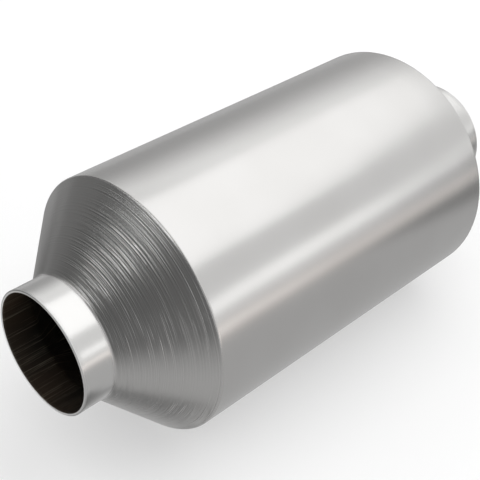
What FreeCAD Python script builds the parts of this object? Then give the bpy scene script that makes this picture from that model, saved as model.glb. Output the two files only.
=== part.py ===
import FreeCAD, Part
import math
import os
import Sketcher

# Spun catalytic converter, in millimetres.
# The gas flows along +X, from the inlet neck to the outlet neck, and +Z is up.
# The origin is on the surface that the can lies on, under the can's middle.
# Both halves are mirror images about the plane X = 0.

SIZES = {
    # Can: one tube, spun down to a cone and a neck at both ends
    "can_diameter": 127.0,
    "wall_thickness": 1.5,
    "shoulder_bend": 1.7,
    "cone_angle": 47.0,
    "root_bend": 5.0,
    "neck_straight": 13.7,
    "rim_break": 0.25,
    # Exhaust pipe that each neck takes
    "pipe_diameter": 57.15,
    "pipe_clearance": 0.25,
    # Two ceramic bricks, one behind the other
    "brick_length": 76.2,
    "brick_gap": 12.0,
    "end_room": 9.2,
    "brick_skin": 1.3,
    "cell_pitch": 11.0,
    "cell_wall": 1.4,
    # Mat round each brick, with its stepped joint
    "mat_thickness": 2.6,
    "seat_clearance": 0.1,
    "joint_gap": 0.8,
    "joint_step": 12.0,
    # Knitted wire seal at each end of each mat
    "seal_width": 6.0,
    "seal_gap": 0.3,
    "seal_edge": 0.7,
    # Rolled strip between the two bricks
    "strip_thickness": 1.0,
    "strip_split": 2.0,
    "strip_gap": 0.3,
}

AXIS_HEIGHT = "Sizes.can_diameter / 2"
CAN_INSIDE = "(Sizes.can_diameter / 2 - Sizes.wall_thickness)"
CAN_STRAIGHT = "(2 * Sizes.brick_length + Sizes.brick_gap + 2 * Sizes.end_room)"
NECK_INSIDE = "((Sizes.pipe_diameter + Sizes.pipe_clearance) / 2)"
MAT_OUTSIDE = "(" + CAN_INSIDE + " - Sizes.seat_clearance)"
MAT_INSIDE = "(" + MAT_OUTSIDE + " - Sizes.mat_thickness)"
BRICK_OUTSIDE = "(" + MAT_INSIDE + " - Sizes.seat_clearance)"
BRICK_CORE = "(" + BRICK_OUTSIDE + " - Sizes.brick_skin)"
BRICK_MIDDLE = "(Sizes.brick_gap / 2 + Sizes.brick_length / 2)"
MAT_LENGTH = "(Sizes.brick_length - 2 * Sizes.seal_width - 2 * Sizes.seal_gap)"
SEAL_MIDDLE = "(Sizes.brick_length / 2 - Sizes.seal_width / 2)"
CELL_SIDE = "(Sizes.cell_pitch - Sizes.cell_wall)"
CELL_COUNT = "(2 * ceil(" + BRICK_CORE + " / Sizes.cell_pitch - 0.5) + 1)"
CELL_REACH = "((" + CELL_COUNT + " - 1) / 2 * Sizes.cell_pitch + " + CELL_SIDE + " / 2)"

START, END, CENTRE = range(1, 4)
ORIGIN, UPRIGHT = -1, -2

doc = FreeCAD.newDocument("catalytic_converter")


def make_sheet():
    """Spreadsheet of driving dimensions, one aliased cell each."""
    sheet = doc.addObject("Spreadsheet::Sheet", "Sizes")
    for row, (alias, number) in enumerate(SIZES.items(), start=1):
        sheet.set("A%d" % row, alias)
        sheet.set("B%d" % row, str(number))
        sheet.setAlias("B%d" % row, alias)
    doc.recompute()
    return sheet


def number(expression):
    """Present value of an expression on the sheet's cells."""
    return float(sheet.evalExpression(expression))


def make_body(label, along="0"):
    """Body on the can's axis, moved along it."""
    body = doc.addObject("PartDesign::Body", label)
    body.Label = label
    body.setExpression("Placement.Base.x", along)
    body.setExpression("Placement.Base.z", AXIS_HEIGHT)
    return body


def origin_plane(body, role):
    """One of the body's own origin planes."""
    return next(item for item in body.Origin.OriginFeatures if item.Role == role)


def add_sketch(body, name, role):
    """Sketch on one of the body's origin planes."""
    sketch = body.newObject("Sketcher::SketchObject", name)
    sketch.AttachmentSupport = [(origin_plane(body, role), "")]
    sketch.MapMode = "FlatFace"
    return sketch


def dimension(sketch, name, expression, kind, *where):
    """Named dimension in a sketch, bound to the sheet."""
    value = math.radians(number(expression)) if kind == "Angle" else number(expression)
    index = sketch.addConstraint(Sketcher.Constraint(kind, *where, value))
    sketch.renameConstraint(index, name)
    sketch.setExpression("Constraints." + name, expression)


def add_circle(sketch, name, radius):
    """Circle round the sketch's origin."""
    shape = Part.Circle(FreeCAD.Vector(0, 0, 0), FreeCAD.Vector(0, 0, 1), number(radius))
    circle = sketch.addGeometry(shape, False)
    sketch.addConstraint(Sketcher.Constraint("Coincident", circle, CENTRE, ORIGIN, START))
    dimension(sketch, name, radius, "Radius", circle)


def add_line(sketch, x_from, y_from, x_to, y_to):
    """Straight line between two points of a sketch."""
    ends = FreeCAD.Vector(x_from, y_from, 0), FreeCAD.Vector(x_to, y_to, 0)
    return sketch.addGeometry(Part.LineSegment(*ends), False)


def add_arc(sketch, x, y, radius, first, sweep):
    """Arc round a point of a sketch, counter-clockwise from its first angle."""
    circle = Part.Circle(FreeCAD.Vector(x, y, 0), FreeCAD.Vector(0, 0, 1), radius)
    return sketch.addGeometry(Part.ArcOfCircle(circle, first, first + sweep), False)


def add_outline(sketch, corners):
    """Closed outline of level and upright lines, each line's place bound to the sheet."""
    points = [(number(across), number(up)) for across, up in corners]
    ends = zip(points, points[1:] + points[:1])
    lines = [add_line(sketch, *here, *there) for here, there in ends]
    for line, following in zip(lines, lines[1:] + lines[:1]):
        sketch.addConstraint(Sketcher.Constraint("Coincident", line, END, following, START))
    for line, here, there in zip(lines, corners, corners[1:] + corners[:1]):
        across, up = here
        if across == there[0]:
            sketch.addConstraint(Sketcher.Constraint("Vertical", line))
            dimension(sketch, "across_%d" % line, across, "DistanceX", ORIGIN, START, line, START)
        else:
            sketch.addConstraint(Sketcher.Constraint("Horizontal", line))
            dimension(sketch, "up_%d" % line, up, "DistanceY", ORIGIN, START, line, START)


def add_pad(body, name, sketch, length):
    """Pad of one length, half of it on each side of the sketch."""
    pad = body.newObject("PartDesign::Pad", name)
    pad.Profile = sketch
    pad.SideType = "Symmetric"
    pad.setExpression("Length", length)
    return pad


def add_ring(body, name, outside, inside, length):
    """Ring of one length, half of it on each side of the body's middle."""
    sketch = add_sketch(body, name + "_section", "YZ_Plane")
    add_circle(sketch, "outside", outside)
    add_circle(sketch, "inside", inside)
    return add_pad(body, name, sketch, length)


def add_cut(body, name, sketch):
    """Cut from a sketch through everything on one side of it."""
    cut = body.newObject("PartDesign::Pocket", name)
    cut.Profile = sketch
    cut.Type = "ThroughAll"
    body.Tip = cut
    return cut


def require_cut(before, after):
    """Stop if a cut took nothing away."""
    if not after.Shape.Volume < before.Shape.Volume:
        raise RuntimeError(after.Label + " cuts nothing")


def add_revolution(body, name, sketch):
    """Full turn of a section round the flow axis."""
    revolution = body.newObject("PartDesign::Revolution", name)
    revolution.Profile = sketch
    revolution.ReferenceAxis = (sketch, ["H_Axis"])
    revolution.Angle = 360
    return revolution


def break_end_edges(body, name, base, size):
    """Bevel on the round edges at both ends of a body."""
    edges = base.Shape.Edges
    reach = max(edge.CenterOfMass.x for edge in edges)
    ends = [
        "Edge%d" % index
        for index, edge in enumerate(edges, start=1)
        if abs(abs(edge.CenterOfMass.x) - reach) < 1e-6
    ]
    bevel = body.newObject("PartDesign::Chamfer", name)
    bevel.Base = (base, ends)
    bevel.setExpression("Size", size)
    body.Tip = bevel


def draw_shell_wall(body):
    """Half section of the shell's wall: can, shoulder, cone, root of the neck, neck and rim."""
    can = number("Sizes.can_diameter / 2")
    wall = number("Sizes.wall_thickness")
    slope = math.radians(number("Sizes.cone_angle"))
    shoulder = number("Sizes.shoulder_bend")
    root = number("Sizes.root_bend")
    neck = number(NECK_INSIDE) + wall
    can_end = -number(CAN_STRAIGHT) / 2
    shoulder_y = can - wall - shoulder
    root_y = neck + root
    bends = root + shoulder + wall
    root_x = can_end - (bends - math.cos(slope) * (root_y - shoulder_y)) / math.sin(slope)
    rim_x = root_x - number("Sizes.neck_straight")

    def add_cone(root_radius, shoulder_radius):
        return add_line(
            sketch,
            root_x + root_radius * math.sin(slope),
            root_y - root_radius * math.cos(slope),
            can_end - shoulder_radius * math.sin(slope),
            shoulder_y + shoulder_radius * math.cos(slope),
        )

    sketch = add_sketch(body, "wall_section", "XZ_Plane")
    can_outer = add_line(sketch, 0, can, can_end, can)
    shoulder_outer = add_arc(sketch, can_end, shoulder_y, shoulder + wall, math.pi / 2, slope)
    cone_outer = add_cone(root, shoulder + wall)
    root_outer = add_arc(sketch, root_x, root_y, root, -math.pi / 2, slope)
    neck_outer = add_line(sketch, root_x, neck, rim_x, neck)
    rim = add_line(sketch, rim_x, neck, rim_x, neck - wall)
    neck_inner = add_line(sketch, rim_x, neck - wall, root_x, neck - wall)
    root_inner = add_arc(sketch, root_x, root_y, root + wall, -math.pi / 2, slope)
    cone_inner = add_cone(root + wall, shoulder)
    shoulder_inner = add_arc(sketch, can_end, shoulder_y, shoulder, math.pi / 2, slope)
    can_inner = add_line(sketch, can_end, can - wall, 0, can - wall)
    middle = add_line(sketch, 0, can - wall, 0, can)

    for pair in (
        (can_outer, END, shoulder_outer, START),
        (shoulder_outer, END, cone_outer, END),
        (cone_outer, START, root_outer, END),
        (root_outer, START, neck_outer, START),
        (neck_inner, END, root_inner, START),
        (root_inner, END, cone_inner, START),
        (cone_inner, END, shoulder_inner, END),
        (shoulder_inner, START, can_inner, START),
    ):
        sketch.addConstraint(Sketcher.Constraint("Tangent", *pair))
    for pair in (
        (neck_outer, END, rim, START),
        (rim, END, neck_inner, START),
        (can_inner, END, middle, START),
        (middle, END, can_outer, START),
        (shoulder_outer, CENTRE, shoulder_inner, CENTRE),
        (root_outer, CENTRE, root_inner, CENTRE),
    ):
        sketch.addConstraint(Sketcher.Constraint("Coincident", *pair))
    for level in (can_outer, neck_outer, neck_inner, can_inner):
        sketch.addConstraint(Sketcher.Constraint("Horizontal", level))
    for upright in (rim, middle):
        sketch.addConstraint(Sketcher.Constraint("Vertical", upright))
    sketch.addConstraint(Sketcher.Constraint("PointOnObject", can_outer, START, UPRIGHT))

    origin = (ORIGIN, START)
    dimension(sketch, "can_radius", "Sizes.can_diameter / 2", "DistanceY", *origin, can_outer, START)
    dimension(sketch, "neck_bore", NECK_INSIDE, "DistanceY", *origin, neck_inner, START)
    dimension(sketch, "can_wall", "Sizes.wall_thickness", "DistanceY", middle, START, middle, END)
    dimension(sketch, "neck_wall", "Sizes.wall_thickness", "DistanceY", rim, END, rim, START)
    dimension(sketch, "half_can", CAN_STRAIGHT + " / 2", "DistanceX", can_outer, END, *origin)
    dimension(sketch, "neck_run", "Sizes.neck_straight", "DistanceX", neck_outer, END, neck_outer, START)
    dimension(sketch, "shoulder_radius", "Sizes.shoulder_bend", "Radius", shoulder_inner)
    dimension(sketch, "root_radius", "Sizes.root_bend", "Radius", root_outer)
    dimension(sketch, "slope", "Sizes.cone_angle", "Angle", cone_outer)
    return sketch


def make_shell():
    """Can, cones and necks, one piece of tube."""
    body = make_body("shell")
    half = add_revolution(body, "inlet_half", draw_shell_wall(body))
    doc.recompute()
    both = body.newObject("PartDesign::Mirrored", "both_halves")
    both.Originals = [half]
    both.MirrorPlane = (origin_plane(body, "YZ_Plane"), [""])
    body.Tip = both
    doc.recompute()
    break_end_edges(body, "deburred_rims", both, "Sizes.rim_break")
    return body


def make_brick(label, along):
    """Ceramic honeycomb: square channels from face to face inside a closed skin."""
    body = make_body(label, along)
    disc = add_sketch(body, "core_section", "YZ_Plane")
    add_circle(disc, "core", BRICK_CORE + " + Sizes.brick_skin / 2")
    core = add_pad(body, "core", disc, "Sizes.brick_length")
    doc.recompute()

    square = add_sketch(body, "cell_section", "YZ_Plane")
    far = "-" + CELL_REACH
    near = far + " + " + CELL_SIDE
    add_outline(square, [(far, far), (near, far), (near, near), (far, near)])
    cell = body.newObject("PartDesign::Pocket", "cell")
    cell.Profile = square
    cell.SideType = "Symmetric"
    cell.setExpression("Length", "Sizes.brick_length * 2")
    cells = body.newObject("PartDesign::MultiTransform", "cells")
    rows = []
    for name, axis in (("across", "H_Axis"), ("up", "V_Axis")):
        row = body.newObject("PartDesign::LinearPattern", name)
        row.Direction = (square, [axis])
        row.setExpression("Length", "(" + CELL_COUNT + " - 1) * Sizes.cell_pitch")
        row.setExpression("Occurrences", CELL_COUNT)
        rows.append(row)
    cells.Originals = [cell]
    cells.Transformations = rows
    body.Tip = cells
    doc.recompute()
    require_cut(core, cells)
    body.Tip = add_ring(body, "skin", BRICK_OUTSIDE, BRICK_CORE, "Sizes.brick_length")
    return body


def make_mat(label, along):
    """Support mat wrapped once round a brick, its ends meeting in a tongue and a slot."""
    body = make_body(label, along)
    wrap = add_ring(body, "wrap", MAT_OUTSIDE, MAT_INSIDE, MAT_LENGTH)
    doc.recompute()
    joint = add_sketch(body, "joint_line", "XY_Plane")
    end = "Sizes.brick_length"
    root = MAT_LENGTH + " / 6"
    root_far = "(" + root + " + Sizes.joint_gap)"
    tip = "Sizes.joint_step / 2"
    tip_far = "(" + tip + " + Sizes.joint_gap)"
    add_outline(
        joint,
        [
            ("-" + end, "-" + tip_far),
            ("-" + root, "-" + tip_far),
            ("-" + root, tip),
            (root, tip),
            (root, "-" + tip_far),
            (end, "-" + tip_far),
            (end, "-" + tip),
            (root_far, "-" + tip),
            (root_far, tip_far),
            ("-" + root_far, tip_far),
            ("-" + root_far, "-" + tip),
            ("-" + end, "-" + tip),
        ],
    )
    slit = add_cut(body, "joint", joint)
    slit.Reversed = True
    doc.recompute()
    require_cut(wrap, slit)
    return body


def make_seal(label, along):
    """Knitted wire rope pressed flat between the brick and the can."""
    body = make_body(label, along)
    rope = add_ring(body, "rope", MAT_OUTSIDE, MAT_INSIDE, "Sizes.seal_width")
    doc.recompute()
    break_end_edges(body, "pressed_edges", rope, "Sizes.seal_edge")
    return body


def make_spacer(label):
    """Rolled strip that keeps the two bricks apart, open at its lowest point."""
    body = make_body(label)
    inside = MAT_OUTSIDE + " - Sizes.strip_thickness"
    width = "Sizes.brick_gap - 2 * Sizes.strip_gap"
    strip = add_ring(body, "strip", MAT_OUTSIDE, inside, width)
    doc.recompute()
    split = add_sketch(body, "split_line", "XY_Plane")
    end = "Sizes.brick_gap"
    side = "Sizes.strip_split / 2"
    add_outline(split, [("-" + end, "-" + side), (end, "-" + side), (end, side), ("-" + end, side)])
    cut = add_cut(body, "split", split)
    doc.recompute()
    require_cut(strip, cut)
    return body


def make_mirrored(source, label):
    """The same piece at the other end of the can."""
    mirrored = doc.addObject("Part::Mirroring", label)
    mirrored.Label = label
    mirrored.Source = source
    mirrored.Base = (0, 0, 0)
    mirrored.Normal = (1, 0, 0)
    return mirrored


def make_parts():
    """Every sub-part, the front ones first and the rear ones as their mirror images."""
    front = "-" + BRICK_MIDDLE
    front_brick = make_brick("front_brick", front)
    front_mat = make_mat("front_mat", front)
    inlet_seal = make_seal("front_brick_inlet_seal", front + " - " + SEAL_MIDDLE)
    outlet_seal = make_seal("front_brick_outlet_seal", front + " + " + SEAL_MIDDLE)
    parts = [make_shell(), front_brick, front_mat, inlet_seal, outlet_seal, make_spacer("spacer_ring")]
    for source, label in (
        (front_brick, "rear_brick"),
        (front_mat, "rear_mat"),
        (outlet_seal, "rear_brick_inlet_seal"),
        (inlet_seal, "rear_brick_outlet_seal"),
    ):
        parts.append(make_mirrored(source, label))
    return parts


def check(parts):
    """Stop if any object failed, or a sub-part has no sound solid."""
    for item in doc.Objects:
        if "Invalid" in item.State or "Error" in item.State:
            raise RuntimeError(item.Label + " did not compute")
    for part in parts:
        if part.Shape.isNull() or not part.Shape.isValid() or len(part.Shape.Solids) != 1:
            raise RuntimeError(part.Label + " is not one sound solid")


def write(parts):
    """One STEP file for each sub-part, named by its label."""
    os.makedirs("parts", exist_ok=True)
    for part in parts:
        part.Shape.exportStep("parts/%s.step" % part.Label)


sheet = make_sheet()
parts = make_parts()
doc.recompute()
check(parts)
write(parts)
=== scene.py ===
import math

import bmesh
import bpy
import numpy as np
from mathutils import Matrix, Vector
from mathutils.geometry import delaunay_2d_cdt


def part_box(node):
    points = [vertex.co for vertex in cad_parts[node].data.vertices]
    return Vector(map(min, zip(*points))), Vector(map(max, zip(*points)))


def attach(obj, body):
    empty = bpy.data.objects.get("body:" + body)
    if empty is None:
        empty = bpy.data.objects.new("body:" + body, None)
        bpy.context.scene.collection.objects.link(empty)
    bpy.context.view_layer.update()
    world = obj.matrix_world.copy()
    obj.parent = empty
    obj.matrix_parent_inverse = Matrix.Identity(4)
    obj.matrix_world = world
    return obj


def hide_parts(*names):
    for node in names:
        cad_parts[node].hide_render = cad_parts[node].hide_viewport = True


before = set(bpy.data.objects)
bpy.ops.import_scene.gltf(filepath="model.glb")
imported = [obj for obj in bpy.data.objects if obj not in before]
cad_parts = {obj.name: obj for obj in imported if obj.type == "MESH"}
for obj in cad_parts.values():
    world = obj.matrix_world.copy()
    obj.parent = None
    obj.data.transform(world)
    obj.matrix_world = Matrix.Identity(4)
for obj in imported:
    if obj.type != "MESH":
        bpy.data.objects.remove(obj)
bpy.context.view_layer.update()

# Spun shell, in metres, as the frame has it
AXIS_HEIGHT = 0.0635
CAN_RADIUS = 0.0635
WALL = 0.0015
CAN_END = 0.09192
SHOULDER_BEND = 0.0005
ROOT_BEND = 0.0025
CONE_ANGLE = math.radians(47)
NECK_BORE = 0.0287
NECK_STRAIGHT = 0.014785
RIM_ROUND = 0.00025
RIM_BEVEL = 0.0003
SHELL_SEGMENTS = 256

# How far from the can's middle the cone, the neck and the cut edge of the rim set in
CONE_BEGINS = (0.0922, 0.0936)
NECK_BEGINS = (0.1232, 0.1262)
CUT_EDGE_BEGINS = (0.1388, 0.1394)

# Roller marks on the cones, lighter on the side that faces +Y
CONE_ROWS = 130
MARK_DEPTH = 0.00001
MARK_SEED = 11
MARK_WAVES = 18
WAVE_SHARE = 0.35
FADE_ROWS = 5
LIGHTER_FROM = -0.05
LIGHTER_TO = 0.35
LIGHTER_BY = 0.75

# Honeycomb of the bricks
BRICK_RADIUS = 0.0592
BRICK_SKIN = 0.0013
BRICK_SEGMENTS = 192
CELL_PITCH = 0.0018
CELL_OPEN = 0.00155

# Studio: cards and cloths round the object, with their greys as shares of white
FLOOR_REACH = 6.0
CLOTH_HEIGHT = 0.0004
WARM_BAND_HEIGHT = 0.0006
UNDER_CLOTH_REACH = 0.8
SKIRT_RADIUS = 2.95
SKIRT_TOP = 0.26
CEILING_HEIGHT = 2.07
HIGH_CARD_HEIGHT = 2.08
WALL_STEPS = 24
CLOTH_RINGS = 12
BRIGHTEST_CARD = 2.5
AIR_LIGHT = 0.86

# Camera, at the photograph's angle
CAMERA_LENS = 77.02
CAMERA_SENSOR = 36
CAMERA_FROM_CAN = (-0.3162, -0.2976, 0.2874)
CAMERA_AIM = (0.583, 0.586, -0.563)


# Shader maths

class Value:
    """Output of a node; arithmetic on it adds Math nodes."""

    def __init__(self, finish, socket):
        self.finish = finish
        self.socket = socket

    def math(self, operation, *inputs):
        return self.finish.add("ShaderNodeMath", {"operation": operation}, dict(enumerate(inputs)))

    def __add__(self, other):
        return self.math("ADD", self, other)

    __radd__ = __add__

    def __sub__(self, other):
        return self.math("SUBTRACT", self, other)

    def __rsub__(self, other):
        return self.math("SUBTRACT", other, self)

    def __mul__(self, other):
        return self.math("MULTIPLY", self, other)

    __rmul__ = __mul__

    def __truediv__(self, other):
        return self.math("DIVIDE", self, other)

    def __rtruediv__(self, other):
        return self.math("DIVIDE", other, self)

    def __pow__(self, other):
        return self.math("POWER", self, other)

    def __rpow__(self, other):
        return self.math("POWER", other, self)

    def __abs__(self):
        return self.math("ABSOLUTE", self)

    def root(self):
        return self.math("SQRT", self)

    def sine(self):
        return self.math("SINE", self)

    def angle_to(self, other):
        return self.math("ARCTAN2", self, other)

    def at_least(self, other):
        return self.math("MAXIMUM", self, other)

    def ramp(self, low, high, out_low=0.0, out_high=1.0):
        """Smooth change from one value to another between two readings."""
        inputs = {"Value": self, "From Min": low, "From Max": high, "To Min": out_low, "To Max": out_high}
        return self.finish.add("ShaderNodeMapRange", {"interpolation_type": "SMOOTHSTEP"}, inputs)


class Finish:
    """Node tree of a material or the world."""

    def __init__(self, owner):
        owner.use_nodes = True
        self.tree = owner.node_tree
        self.tree.nodes.clear()

    def feed(self, socket, value):
        """Link a value to a socket, or set the socket to a constant."""
        if isinstance(value, Value):
            self.tree.links.new(value.socket, socket)
        else:
            socket.default_value = value

    def node(self, kind, settings=None, inputs=None):
        node = self.tree.nodes.new(kind)
        for name, setting in (settings or {}).items():
            setattr(node, name, setting)
        for name, value in (inputs or {}).items():
            self.feed(node.inputs[name], value)
        return node

    def add(self, kind, settings=None, inputs=None, output=0):
        return Value(self, self.node(kind, settings, inputs).outputs[output])

    def place(self):
        """Place on the piece, in metres."""
        return self.add("ShaderNodeTexCoord", output="Object")

    def split(self, vector):
        node = self.node("ShaderNodeSeparateXYZ", inputs={"Vector": vector})
        return [Value(self, socket) for socket in node.outputs]

    def around_axis(self):
        """Distance along the flow axis, and the direction across it as its parts along Y and Z."""
        x, y, z = self.split(self.place())
        up = z - AXIS_HEIGHT
        radius = (y * y + up * up).root().at_least(0.001)
        return x, y / radius, up / radius

    def noise(self, vector, scale=1.0, detail=2, roughness=0.5):
        inputs = {"Vector": vector, "Scale": scale, "Detail": detail, "Roughness": roughness}
        return self.add("ShaderNodeTexNoise", inputs=inputs)

    def drawn_noise(self, place, along, around, detail, roughness=0.5):
        """Noise with its own scale along the flow axis and round it, as tools and rollers leave it."""
        x, across, upward = place
        scaled = {"X": x * along, "Y": across * around, "Z": upward * around}
        vector = self.add("ShaderNodeCombineXYZ", inputs=scaled)
        return self.noise(vector, detail=detail, roughness=roughness)

    def mix(self, factor, first, second):
        """Blend of two colours; the node's colour sockets are told apart by their numbers."""
        node = self.node("ShaderNodeMix", {"data_type": "RGBA"}, {0: factor, 6: first, 7: second})
        return Value(self, node.outputs[2])

    def bump(self, height, distance):
        return self.add("ShaderNodeBump", inputs={"Height": height, "Distance": distance})

    def glow(self, strength, tint=(1, 1, 1)):
        return self.add("ShaderNodeEmission", inputs={"Color": rgb(*tint), "Strength": strength})

    def blend(self, share, first, second):
        """Blend of two shaders."""
        return self.add("ShaderNodeMixShader", inputs={0: share, 1: first, 2: second})

    def principled(self, **inputs):
        named = {name.replace("_", " "): value for name, value in inputs.items()}
        return self.add("ShaderNodeBsdfPrincipled", inputs=named)

    def show(self, shader, output="ShaderNodeOutputMaterial"):
        self.node(output, inputs={"Surface": shader})


def rgb(red, green, blue):
    return (red, green, blue, 1.0)


def new_material(name):
    material = bpy.data.materials.new(name)
    return material, Finish(material)


# Finishes of the pieces

def spun_steel():
    """Stainless steel, bright on the can and neck, and ringed by the roller on the cones."""
    material, finish = new_material("spun_steel")
    place = finish.around_axis()
    x, across, upward = place
    from_middle = abs(x)
    neck = from_middle.ramp(*NECK_BEGINS)
    cone = from_middle.ramp(*CONE_BEGINS) * from_middle.ramp(*NECK_BEGINS, 1.0, 0.0)
    cut_edge = from_middle.ramp(*CUT_EDGE_BEGINS)

    rings = finish.drawn_noise(place, along=2900, around=0.45, detail=1, roughness=0.7)
    grooves = finish.drawn_noise(place, along=1900, around=0.3, detail=0).ramp(0.55, 0.68)
    arcs = finish.drawn_noise(place, along=900, around=2.2, detail=1).ramp(0.40, 0.58, 0.30, 1.0)
    grain = finish.drawn_noise(place, along=1500, around=9, detail=2)
    clouds = finish.drawn_noise(place, along=18, around=1.2, detail=2)

    pressure = 1 - across.ramp(LIGHTER_FROM, LIGHTER_TO) * LIGHTER_BY
    lathe_marks = (rings - 0.5 + grooves * 0.26) * arcs * pressure
    underside = upward.ramp(-0.6, -0.3, 1.0, 0.0)
    height = lathe_marks * (cone * (underside * 1.5 + 1) + neck * 0.08) + grain * 0.004

    can_colour = finish.mix(clouds.ramp(0.3, 0.7), rgb(0.585, 0.578, 0.568), rgb(0.61, 0.604, 0.595))
    # Painted highlight: the neck's steel is given a paler colour than the can's, so that its highlight
    # shows brighter.
    neck_colour = rgb(0.675, 0.67, 0.66)
    finish.show(finish.principled(
        Base_Color=finish.mix(neck, can_colour, neck_colour),
        Metallic=1.0,
        Roughness=0.22 + cone * 0.08 + cut_edge * 0.13,
        Normal=finish.bump(height, 0.00022),
    ))
    return material


def bore_steel_painted_shade():
    """Inside of the shell: steel painted near black as the shade in the bore, brown and lighter towards
    the rim and the top, with streaks along the tube.
    """
    material, finish = new_material("bore_steel_painted_shade")
    place = finish.around_axis()
    x, across, upward = place
    streaks = finish.drawn_noise(place, along=18, around=60, detail=3, roughness=0.7)
    stain = finish.drawn_noise(place, along=25, around=2, detail=2)
    scratch = streaks.ramp(0.575, 0.66)
    # Painted shade: the steel inside is coloured near black, which stands for the shade deep in the bore;
    # near the rim, more so at the top, it turns a lighter brown.
    near_rim = abs(x).ramp(0.122, 0.139) * upward.ramp(-0.3, 0.7, 0.45, 1.0)
    scale = finish.mix(stain.ramp(0.35, 0.65), rgb(0.007, 0.006, 0.004), rgb(0.026, 0.016, 0.009))
    shaded_bore_colour = finish.mix(near_rim * 0.7, scale, rgb(0.085, 0.052, 0.030))
    finish.show(finish.principled(
        Base_Color=finish.mix(scratch * 0.8, shaded_bore_colour, rgb(0.23, 0.21, 0.16)),
        Metallic=0.35,
        Roughness=0.55 - scratch * 0.12,
        Normal=finish.bump(streaks, 0.00004),
    ))
    return material


def washcoated_ceramic():
    """Honeycomb ceramic, coated a matt brown-grey."""
    material, finish = new_material("washcoated_ceramic")
    place = finish.place()
    clouds = finish.noise(place, scale=60, detail=3)
    grit = finish.noise(place, scale=2600, detail=3)
    coat = finish.mix(clouds.ramp(0.3, 0.7), rgb(0.60, 0.52, 0.42), rgb(0.70, 0.62, 0.51))
    finish.show(finish.principled(
        Base_Color=finish.mix(grit.ramp(0.35, 0.7) * 0.35, coat, rgb(0.40, 0.33, 0.25)),
        Roughness=0.86 + (grit - 0.5) * 0.15,
        Normal=finish.bump(grit, 0.00008),
    ))
    return material


def fibre_mat():
    """Pressed ceramic fibre with flakes of mica."""
    material, finish = new_material("fibre_mat")
    place = finish.place()
    fibres = finish.noise(place, scale=900, detail=5, roughness=0.7)
    felting = finish.noise(place, scale=140, detail=3)
    cracks = finish.add("ShaderNodeTexVoronoi", {"feature": "F1"}, {"Vector": place, "Scale": 420})
    flakes = cracks.ramp(0.12, 0.2, 1.0, 0.0)
    pale = finish.mix(fibres.ramp(0.3, 0.7), rgb(0.62, 0.58, 0.49), rgb(0.80, 0.77, 0.68))
    shaded = finish.mix(felting.ramp(0.4, 0.7) * 0.4, pale, rgb(0.55, 0.50, 0.40))
    finish.show(finish.principled(
        Base_Color=finish.mix(flakes * 0.7, shaded, rgb(0.60, 0.47, 0.26)),
        Roughness=0.9 - flakes * 0.45,
        Normal=finish.bump(fibres + felting * 0.6, 0.0002),
    ))
    return material


def knitted_wire():
    """Knitted steel wire, pressed into a rope."""
    material, finish = new_material("knitted_wire")
    x, across, upward = finish.around_axis()
    loops = (across.angle_to(upward) * 150).sine()
    courses = (x * 5200 + loops * 1.3).sine()
    wires = (courses * 0.5 + 0.5) ** 0.6
    # Painted shade: the base colour goes near black in the gaps between the wires and pale on their tops.
    lit = wires.ramp(0.05, 0.45)
    finish.show(finish.principled(
        Base_Color=finish.mix(lit, rgb(0.05, 0.048, 0.045), rgb(0.60, 0.59, 0.57)),
        Metallic=1.0,
        Roughness=0.42 - lit * 0.12,
        Normal=finish.bump(wires, 0.00025),
    ))
    return material


def rolled_strip():
    """Cold-rolled strip, with its rolling lines round the ring."""
    material, finish = new_material("rolled_strip")
    place = finish.around_axis()
    lines = finish.drawn_noise(place, along=4200, around=8, detail=3, roughness=0.6)
    smears = finish.drawn_noise(place, along=160, around=5, detail=2)
    finish.show(finish.principled(
        Base_Color=finish.mix(smears.ramp(0.35, 0.65), rgb(0.50, 0.49, 0.475), rgb(0.60, 0.59, 0.575)),
        Metallic=1.0,
        Roughness=0.30 + lines * 0.16,
        Normal=finish.bump(lines, 0.00001),
    ))
    return material


# Shell

def add_piece(name, mesh, smooth):
    """Piece of the object from its mesh, with doubled points joined."""
    work = bmesh.new()
    work.from_mesh(mesh)
    bmesh.ops.remove_doubles(work, verts=work.verts, dist=1e-7)
    bmesh.ops.recalc_face_normals(work, faces=work.faces)
    work.to_mesh(mesh)
    work.free()
    if smooth:
        mesh.shade_smooth()
    piece = bpy.data.objects.new(name, mesh)
    bpy.context.scene.collection.objects.link(piece)
    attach(piece, "root")
    return piece


def arc(centre, radius, first, last, steps):
    """Points of an arc in the plane of the section, from one angle to another in radians."""
    x, r = centre
    angles = np.linspace(first, last, steps + 1)
    return [(x + radius * math.cos(a), r + radius * math.sin(a)) for a in angles]


def line(start, end, steps):
    start, end = np.array(start), np.array(end)
    return [tuple(start + (end - start) * t / steps) for t in range(steps + 1)]


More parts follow.
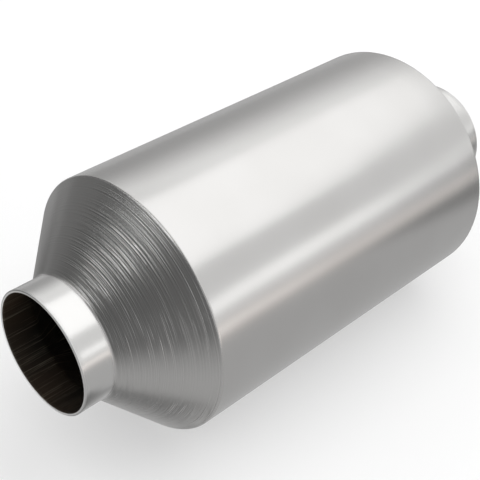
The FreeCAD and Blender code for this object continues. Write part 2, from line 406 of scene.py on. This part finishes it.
def shell_section():
    """Outer and inner outline of the inlet half, from the can's middle to the rim and back.

    The third result is the number of the first outer point on the cone.
    """
    upright = math.pi / 2
    shoulder_r = CAN_RADIUS - WALL - SHOULDER_BEND
    neck = NECK_BORE + WALL
    root_r = neck + ROOT_BEND
    bends = ROOT_BEND + SHOULDER_BEND + WALL
    run = (bends + math.cos(CONE_ANGLE) * (shoulder_r - root_r)) / math.sin(CONE_ANGLE)
    shoulder = (-CAN_END, shoulder_r)
    root = (-CAN_END - run, root_r)
    rim_x = root[0] - NECK_STRAIGHT
    rim_middle = (rim_x + RIM_ROUND, neck - RIM_ROUND)

    shoulder_out = arc(shoulder, SHOULDER_BEND + WALL, upright, upright + CONE_ANGLE, steps=7)
    can_out = line((0, CAN_RADIUS), shoulder_out[0], steps=6)
    root_out = arc(root, ROOT_BEND, CONE_ANGLE - upright, -upright, steps=8)
    cone_out = line(shoulder_out[-1], root_out[0], CONE_ROWS)
    neck_out = line(root_out[-1], (rim_x + RIM_ROUND, neck), steps=5)
    rim = arc(rim_middle, RIM_ROUND, upright, 2 * upright, steps=4)

    # A point just beyond each bend keeps the shading of the flats even
    rim += [(rim_x, neck - RIM_ROUND * 1.2), (rim_x, NECK_BORE + RIM_BEVEL * 1.1)]
    neck_in = [(rim_x + RIM_BEVEL * 0.1, NECK_BORE + RIM_BEVEL), (rim_x + RIM_BEVEL * 3, NECK_BORE)]
    neck_in += line((rim_x + RIM_BEVEL * 3.2, NECK_BORE), (root[0], NECK_BORE), steps=3)
    root_in = arc(root, ROOT_BEND + WALL, -upright, CONE_ANGLE - upright, steps=5)
    shoulder_in = arc(shoulder, SHOULDER_BEND, upright + CONE_ANGLE, upright, steps=4)

    outer = can_out[:-1] + shoulder_out[:-1] + cone_out[:-1] + root_out[:-1] + neck_out[:-1] + rim
    inner = neck_in + root_in[1:] + shoulder_in + [(0, CAN_RADIUS - WALL)]
    return outer, inner, len(can_out[:-1] + shoulder_out[:-1])


def roller_marks(rng):
    """Height of the marks on each row of a cone, nearly even all the way round."""
    rows = CONE_ROWS - 1
    turn = np.arange(SHELL_SEGMENTS) / SHELL_SEGMENTS
    wave = turn * MARK_WAVES
    before = wave.astype(int)
    blend = (1 - np.cos((wave - before) * math.pi)) / 2
    depths = rng.normal(0, 1, rows)
    depths -= np.convolve(depths, np.ones(3) / 3, mode="same")
    knots = rng.normal(0, 1, (rows, MARK_WAVES))
    waver = knots[:, before % MARK_WAVES] * (1 - blend) + knots[:, (before + 1) % MARK_WAVES] * blend
    from_ends = np.minimum(np.arange(rows) + 1, np.arange(rows)[::-1] + 1)
    fade = np.minimum(from_ends / FADE_ROWS, 1)[:, None]
    across = np.sin(turn * 2 * math.pi)
    lighter = np.clip((across - LIGHTER_FROM) / (LIGHTER_TO - LIGHTER_FROM), 0, 1)
    return (depths[:, None] + waver * WAVE_SHARE) * fade * (1 - LIGHTER_BY * lighter) * MARK_DEPTH


def make_shell(outer_finish, inner_finish):
    """Can, cones and necks as one tube, with its own finish outside and inside."""
    rng = np.random.default_rng(MARK_SEED)
    outer, inner, cone_first = shell_section()
    outline = np.array(outer + inner)
    rows = len(outline)
    marked = slice(cone_first + 1, cone_first + CONE_ROWS)
    angles = np.arange(SHELL_SEGMENTS) / SHELL_SEGMENTS * 2 * math.pi
    vertices = []
    faces = []
    slots = []
    for side, base in ((1, 0), (-1, rows * SHELL_SEGMENTS)):
        along = np.repeat(outline[:, :1] * side, SHELL_SEGMENTS, axis=1)
        radius = np.repeat(outline[:, 1:], SHELL_SEGMENTS, axis=1)
        marks = roller_marks(rng)
        along[marked] -= side * marks * math.sin(CONE_ANGLE)
        radius[marked] += marks * math.cos(CONE_ANGLE) - MARK_DEPTH * 2
        height = AXIS_HEIGHT + radius * np.cos(angles)
        block = np.stack([along, radius * np.sin(angles), height], axis=-1)
        vertices.append(block.reshape(-1, 3))
        for row in range(rows - 1):
            for segment in range(SHELL_SEGMENTS):
                a = base + row * SHELL_SEGMENTS + segment
                b = base + row * SHELL_SEGMENTS + (segment + 1) % SHELL_SEGMENTS
                face = (a, b, b + SHELL_SEGMENTS, a + SHELL_SEGMENTS)
                faces.append(face[::side])
                slots.append(0 if row < len(outer) else 1)
    mesh = bpy.data.meshes.new("spun_shell")
    mesh.from_pydata(np.concatenate(vertices).tolist(), [], faces)
    mesh.materials.append(outer_finish)
    mesh.materials.append(inner_finish)
    mesh.polygons.foreach_set("material_index", slots)
    return add_piece("spun_shell", mesh, smooth=True)


# Bricks

def cell_middles():
    """Middles of the cells that fit whole inside the skin, row by row."""
    core = BRICK_RADIUS - BRICK_SKIN
    half = CELL_OPEN / 2
    reach = int(core / CELL_PITCH) + 1
    for row in range(-reach, reach + 1):
        for column in range(-reach, reach + 1):
            y, z = column * CELL_PITCH, row * CELL_PITCH
            if math.hypot(abs(y) + half, abs(z) + half) <= core:
                yield y, z


def edges_of(loop):
    return list(zip(loop, loop[1:] + loop[:1]))


def make_brick(name, node, finish):
    """Ceramic brick with its fine square cells, open from face to face."""
    half = CELL_OPEN / 2
    points = []
    loops = []
    open_cells = set()
    for y, z in cell_middles():
        loops.append(list(range(len(points), len(points) + 4)))
        points += [(y - half, z - half), (y + half, z - half), (y + half, z + half), (y - half, z + half)]
        open_cells.add((round(y / CELL_PITCH), round(z / CELL_PITCH)))
    loops.append(list(range(len(points), len(points) + BRICK_SEGMENTS)))
    turns = [2 * math.pi * k / BRICK_SEGMENTS for k in range(BRICK_SEGMENTS)]
    points += [(BRICK_RADIUS * math.cos(turn), BRICK_RADIUS * math.sin(turn)) for turn in turns]
    edges = [edge for loop in loops for edge in edges_of(loop)]
    flat, _, triangles = delaunay_2d_cdt([Vector(point) for point in points], edges, [], 0, 1e-9)[:3]

    def is_ceramic(triangle):
        y, z = (sum(flat[i][axis] for i in triangle) / 3 for axis in (0, 1))
        column, row = round(y / CELL_PITCH), round(z / CELL_PITCH)
        in_square = abs(y - column * CELL_PITCH) < half and abs(z - row * CELL_PITCH) < half
        return not (in_square and (column, row) in open_cells)

    low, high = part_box(node)
    count = len(flat)
    face = [tuple(triangle) for triangle in triangles if is_ceramic(triangle)]
    vertices = [(x, y, z + AXIS_HEIGHT) for x in (low[0], high[0]) for y, z in flat]
    faces = [triangle[::-1] for triangle in face]
    faces += [tuple(i + count for i in triangle) for triangle in face]
    faces += [(a, b, b + count, a + count) for loop in loops for a, b in edges_of(loop)]
    mesh = bpy.data.meshes.new(name)
    mesh.from_pydata(vertices, [], faces)
    mesh.materials.append(finish)
    brick = add_piece(name, mesh, smooth=False)
    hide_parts(node)


def refinish(node, material):
    """New material on a CAD piece that keeps its own shape."""
    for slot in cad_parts[node].material_slots:
        slot.material = material


shell = make_shell(spun_steel(), bore_steel_painted_shade())
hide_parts("shell")

ceramic = washcoated_ceramic()
for brick_node in ("front_brick", "rear_brick"):
    make_brick(brick_node + "_honeycomb", brick_node, ceramic)

mat_finish = fibre_mat()
wire_finish = knitted_wire()
for end in ("front", "rear"):
    refinish(end + "_mat", mat_finish)
    for face in ("inlet", "outlet"):
        refinish("%s_brick_%s_seal" % (end, face), wire_finish)
refinish("spacer_ring", rolled_strip())


# Light in the cards and the floor

def seen_directly(finish):
    """One where the camera, a reflection or a glass looks, nought where light is gathered."""
    path = finish.node("ShaderNodeLightPath")
    seen = Value(finish, path.outputs["Is Camera Ray"])
    for kind in ("Is Glossy Ray", "Is Transmission Ray"):
        seen = seen.at_least(Value(finish, path.outputs[kind]))
    return seen


def from_origin(x, y):
    return (x * x + y * y).root()


def spot(x, y, centre_x, centre_y, inner, outer):
    """One inside a round spot, nought outside it."""
    return from_origin(x - centre_x, y - centre_y).ramp(inner, outer, 1.0, 0.0)


def floor_paper():
    """Pale paper that runs out to plain white."""
    material, finish = new_material("floor_paper")
    x, y, z = finish.split(finish.place())
    paper = finish.principled(Base_Color=rgb(0.93, 0.93, 0.93), Roughness=0.9, Specular_IOR_Level=0.1)
    plain_white = finish.glow(seen_directly(finish))
    finish.show(finish.blend(from_origin(x, y).ramp(0.7, 1.9, 0.4, 1.0), paper, plain_white))
    return material


def grey_card(name, level, tint=(1, 1, 1)):
    """Card of one grey, or of a grey that a function works out from the place on it."""
    material, finish = new_material(name)
    if callable(level):
        share = level(*finish.split(finish.place())) / BRIGHTEST_CARD
        finish.show(finish.blend(share, finish.glow(0.0), finish.glow(BRIGHTEST_CARD, tint)))
    else:
        finish.show(finish.glow(level, tint))
    return material


def under_cloth_level(x, y, z):
    """Mid grey round the object, which paints the floor's shade near it into the reflections, darker on
    the inlet side, with a painted shadow under the cone, paler further off.
    """
    reach = from_origin(x, y)
    inlet_side = (x - y.at_least(0.0) * 0.35).ramp(-0.32, -0.13, 1.0, 0.0)
    outlet_side = (x + y * 0.9).ramp(-0.05, 0.05)
    further_off = reach.ramp(0.28, 0.36) * reach.ramp(0.52, 0.64, 1.0, 0.0) * (1 - inlet_side)
    further_off = further_off * (1 - outlet_side * 0.85) * x.ramp(0.08, 0.2, 1.0, 0.0)
    # Painted shadow: a dark stripe on the cloth under the cone, where the object's shadow would lie on the
    # floor. The mid grey of 0.52 below is painted shade of the floor close to the object.
    slant = x + y + 0.163
    cone_side = x.ramp(-0.110, -0.102, 1.0, 0.0).at_least(y.ramp(-0.044, -0.034))
    painted_cone_shadow = slant.ramp(-0.018, -0.004) * slant.ramp(0.006, 0.050, 1.0, 0.0) * cone_side
    before_rim = spot(x, y, -0.235, 0.05, 0.015, 0.085)
    strip_foot = spot(x, y, 0.27, -0.20, 0.03, 0.14)
    left_foot = spot(x, y, -0.08, 0.24, 0.05, 0.16)
    level = 0.52 - inlet_side * 0.37 + further_off * 0.4
    return level - painted_cone_shadow * 0.31 + before_rim * 1.15 - strip_foot * 0.26 - left_foot * 0.14


def back_level(x, y, z):
    """Grey that brightens upwards, less so towards the inlet side."""
    return z.ramp(0.6, 3.2, 0.555, 1.3) * y.ramp(1.4, 2.9, 1.0, 0.78)


def warm_level(x, y, z):
    """Pale band along the can that fades towards the outlet."""
    band = y.ramp(-0.95, -0.65) * y.ramp(-0.46, -0.28, 1.0, 0.0)
    return band * (x.ramp(0.18, 0.36, 0.30, 0.0) + x.ramp(0.2, 0.6, 0.45, 0.2)) + 0.62


def front_cloth_level(x, y, z):
    """Mid grey, paler before the strip."""
    return x.ramp(0.2, 0.6, 0.62, 0.82)


def side_flag_level(x, y, z):
    """Dark grey, a little paler towards the front."""
    return y.ramp(-2.0, -0.5, 0.155, 0.12)


def ceiling_level(x, y, z):
    """Dark ceiling that lightens towards the softbox."""
    return x.ramp(-0.7, 0.35, 0.26, 1.0)


def inlet_cloth_level(x, y, z):
    """Dark grey, paler behind the object."""
    return x.ramp(-1.3, -0.2, 0.16, 0.38)


# Studio

def add_sheet(name, vertices, faces, material, only_reflected=True):
    """Sheet of the studio: the floor, or a card that only the metal shows."""
    mesh = bpy.data.meshes.new(name)
    mesh.from_pydata(vertices, [], faces)
    mesh.materials.append(material)
    sheet = bpy.data.objects.new(name, mesh)
    bpy.context.scene.collection.objects.link(sheet)
    if only_reflected:
        sheet.visible_camera = False
        sheet.visible_diffuse = False
        sheet.visible_shadow = False


def strip_faces(rows, steps):
    """Faces between neighbouring rows of points, each row one point longer than its steps."""
    count = steps + 1
    corners = [(row * count + i, (row + 1) * count + i) for row in range(rows - 1) for i in range(steps)]
    return [(a, a + 1, d + 1, d) for a, d in corners]


def around_object(radius, bearings, height):
    """Points at one radius and height, from one bearing to another in degrees."""
    turns = np.radians(np.linspace(*bearings, WALL_STEPS + 1))
    return [(radius * math.cos(turn), radius * math.sin(turn), height) for turn in turns]


def add_wall(name, radius, bearings, heights, material):
    """Upright card, curved round the object."""
    vertices = [point for height in heights for point in around_object(radius, bearings, height)]
    add_sheet(name, vertices, strip_faces(2, WALL_STEPS), material)


def add_ring_cloth(name, radii, bearings, height, material):
    """Level card in a sector of a ring round the object."""
    rings = np.geomspace(*radii, CLOTH_RINGS)
    vertices = [point for radius in rings for point in around_object(radius, bearings, height)]
    add_sheet(name, vertices, strip_faces(CLOTH_RINGS, WALL_STEPS), material)


def add_level_card(name, x_span, y_span, height, material, only_reflected=True):
    """Level rectangular card."""
    (x_low, x_high), (y_low, y_high) = x_span, y_span
    corners = [(x_low, y_low), (x_high, y_low), (x_high, y_high), (x_low, y_high)]
    vertices = [(x, y, height) for x, y in corners]
    add_sheet(name, vertices, [(0, 1, 2, 3)], material, only_reflected)


def add_softbox(name, position, aim, width, height, radiance):
    """Area lamp with the dark back of its box, so that only its own light shows in the metal."""
    light = bpy.data.lights.new(name, "AREA")
    light.shape = "RECTANGLE"
    light.size = width
    light.size_y = height
    light.energy = radiance * math.pi * width * height
    lamp = bpy.data.objects.new(name, light)
    lamp.location = position
    turn = (Vector(aim) - Vector(position)).to_track_quat("-Z", "Y")
    lamp.rotation_euler = turn.to_euler()
    bpy.context.scene.collection.objects.link(lamp)
    behind = 0.01
    corners = [(-width, -height), (width, -height), (width, height), (-width, height)]
    back = [tuple(Vector(position) + turn @ Vector((x / 2, y / 2, behind))) for x, y in corners]
    add_sheet(name + "_back", back, [(0, 1, 2, 3)], grey_card(name + "_lining", 0.0))


floor_span = (-FLOOR_REACH, FLOOR_REACH)
add_level_card("floor", floor_span, floor_span, 0, floor_paper(), only_reflected=False)
add_wall("inlet_side_flag", 2.8, (122, 232), (0.0, 3.0), grey_card("dark_card", side_flag_level))
add_wall("back_left_flag", 2.84, (76, 124), (0.0, 3.1), grey_card("mid_dark_card", 0.2))
add_wall("back_card", 3.0, (20, 78), (0.0, 3.2), grey_card("graded_card", back_level))
add_wall("front_card", 3.0, (-80, -25), (0.85, 2.3), grey_card("pale_card", 0.86))
add_wall("strip_skirt", SKIRT_RADIUS, (-95, -46), (0.0, SKIRT_TOP), grey_card("skirt_card", 0.86))
add_wall("strip_end_skirt", SKIRT_RADIUS, (-46, -25), (0.0, SKIRT_TOP), grey_card("end_skirt_card", 0.52))
warm_card = grey_card("warm_card", warm_level, tint=(1.0, 0.95, 0.92))
add_level_card("warm_band", (-0.12, 0.75), (-0.95, -0.28), WARM_BAND_HEIGHT, warm_card)
ceiling_card = grey_card("ceiling_card", ceiling_level)
add_level_card("ceiling", (-1.35, 0.3), (-2.2, 1.6), CEILING_HEIGHT, ceiling_card)
add_ring_cloth("inlet_high_card", (1.45, 2.1), (122, 202), HIGH_CARD_HEIGHT, grey_card("bright_card", 2.3))
add_wall("front_flag", 2.9, (232, 262), (0.0, 2.6), grey_card("front_flag_card", 0.48))
for cloth, edge, bearings, card, level in (
    ("inlet_cloth", 2.75, (82, 232), "dark_cloth", inlet_cloth_level),
    ("front_cloth", 2.5, (232, 312), "mid_cloth", front_cloth_level),
    ("outlet_cloth", 2.7, (-48, 82), "outlet_grey_cloth", 0.55),
):
    add_ring_cloth(cloth, (UNDER_CLOTH_REACH, edge), bearings, CLOTH_HEIGHT, grey_card(card, level))
under_cloth_card = grey_card("grey_cloth", under_cloth_level)
add_ring_cloth("under_cloth", (0.001, UNDER_CLOTH_REACH), (0, 360), CLOTH_HEIGHT, under_cloth_card)

world = bpy.data.worlds.new("studio")
bpy.context.scene.world = world
air = Finish(world)
strength = AIR_LIGHT + seen_directly(air) * (1 - AIR_LIGHT)
background = air.add("ShaderNodeBackground", inputs={"Color": rgb(1, 1, 1), "Strength": strength})
air.show(background, "ShaderNodeOutputWorld")

add_softbox("overhead_softbox", (1.35, -0.57, 2.06), (1.35, -0.57, 0), 2.1, 2.8, radiance=1.51)
add_softbox("low_strip", (1.505, -2.408, 0.468), (0, 0, AXIS_HEIGHT), 1.2, 0.444, radiance=1.57)

camera_data = bpy.data.cameras.new("camera")
camera_data.lens = CAMERA_LENS
camera_data.sensor_width = CAMERA_SENSOR
camera = bpy.data.objects.new("camera", camera_data)
camera.location = Vector((0, 0, AXIS_HEIGHT)) + Vector(CAMERA_FROM_CAN)
camera.rotation_euler = Vector(CAMERA_AIM).to_track_quat("-Z", "Y").to_euler()
bpy.context.scene.collection.objects.link(camera)
bpy.context.scene.camera = camera
bpy.context.scene.view_settings.view_transform = "Standard"
